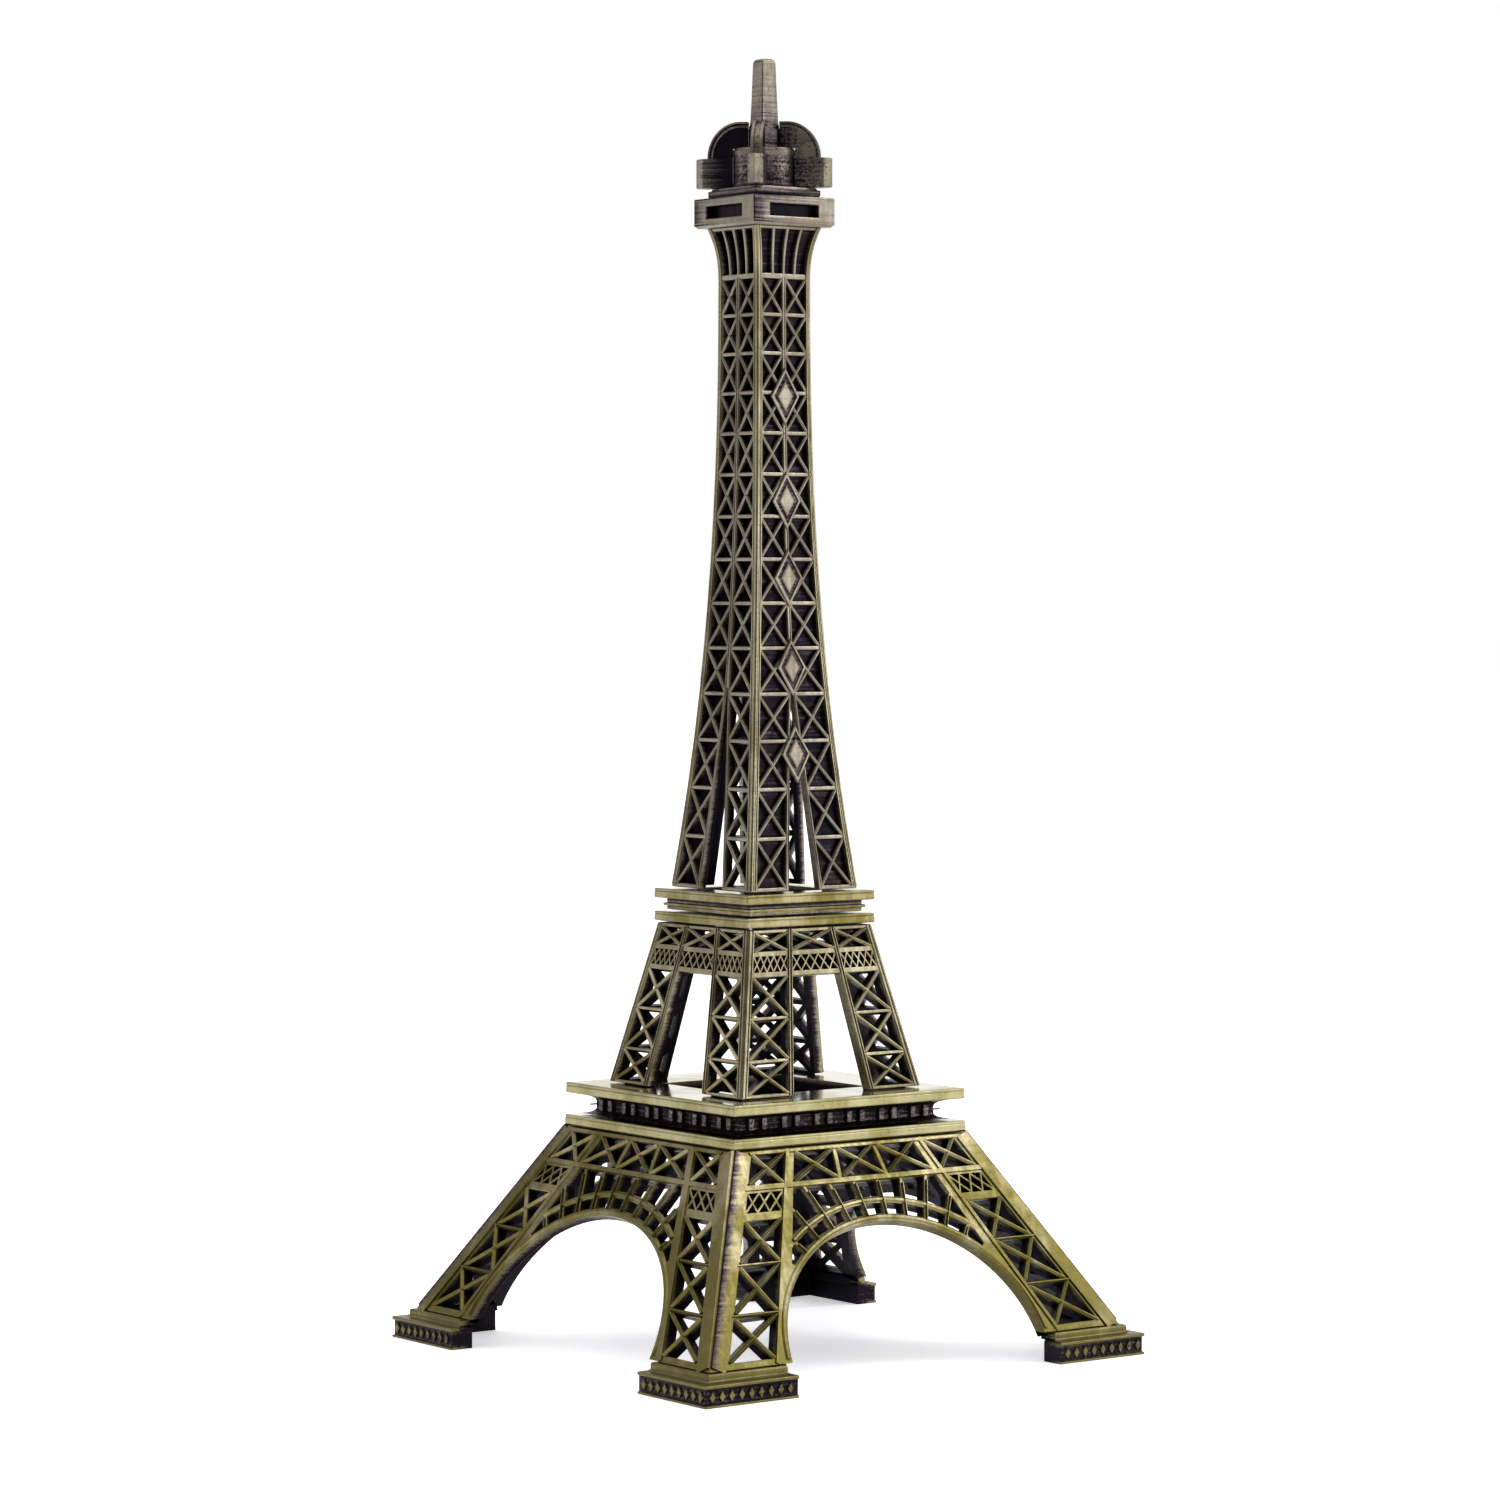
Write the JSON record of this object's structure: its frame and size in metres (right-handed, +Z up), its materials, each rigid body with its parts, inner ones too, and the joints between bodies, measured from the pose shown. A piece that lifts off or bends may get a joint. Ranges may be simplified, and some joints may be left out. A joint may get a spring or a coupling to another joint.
{
  "type": "miniature lattice tower",
  "caption": "Desk souvenir model of a lattice iron tower on four spread legs, with two platforms, a tapering shaft, a gallery and a spire.",
  "frame": {"origin": "middle of the four feet, on the surface that the tower stands on", "axes": "+Z up along the tower's axis, -Y towards the front side, +X to the right when facing the front side"},
  "size_m": [0.0756, 0.0756, 0.18],
  "materials": {
    "lattice_bronze": "antique plating, brushed back on the raised bars, dark in the corners",
    "slab_bronze": "antique plating, brushed edges and polished top faces under clear lacquer",
    "dark_recess": "dark patina, left unbrushed",
    "foot_bronze": "antique plating, dark in the relief and bright on the edges",
    "crown_bronze": "antique plating, cast texture lightly brushed"
  },
  "bodies": {
    "root": {"base_side_back": "lattice_bronze", "base_side_front": "lattice_bronze", "base_side_left": "lattice_bronze", "base_side_right": "lattice_bronze", "crown_arm_back_left": "crown_bronze", "crown_arm_back_right": "crown_bronze", "crown_arm_front_left": "crown_bronze", "crown_arm_front_right": "crown_bronze", "first_cornice": "slab_bronze", "first_deck": "slab_bronze", "first_frieze": "dark_recess", "foot_back_left": "foot_bronze", "foot_back_right": "foot_bronze", "foot_front_left": "foot_bronze", "foot_front_right": "foot_bronze", "gallery_box": "slab_bronze", "lantern_drum": "crown_bronze", "mid_side_back": "lattice_bronze", "mid_side_front": "lattice_bronze", "mid_side_left": "lattice_bronze", "mid_side_right": "lattice_bronze", "second_band": "dark_recess", "second_lower_slab": "slab_bronze", "second_upper_slab": "slab_bronze", "shaft_side_back": "lattice_bronze", "shaft_side_front": "lattice_bronze", "shaft_side_left": "lattice_bronze", "shaft_side_right": "lattice_bronze", "spire": "crown_bronze", "step_plate": "crown_bronze"}
  },
  "joints": []
}
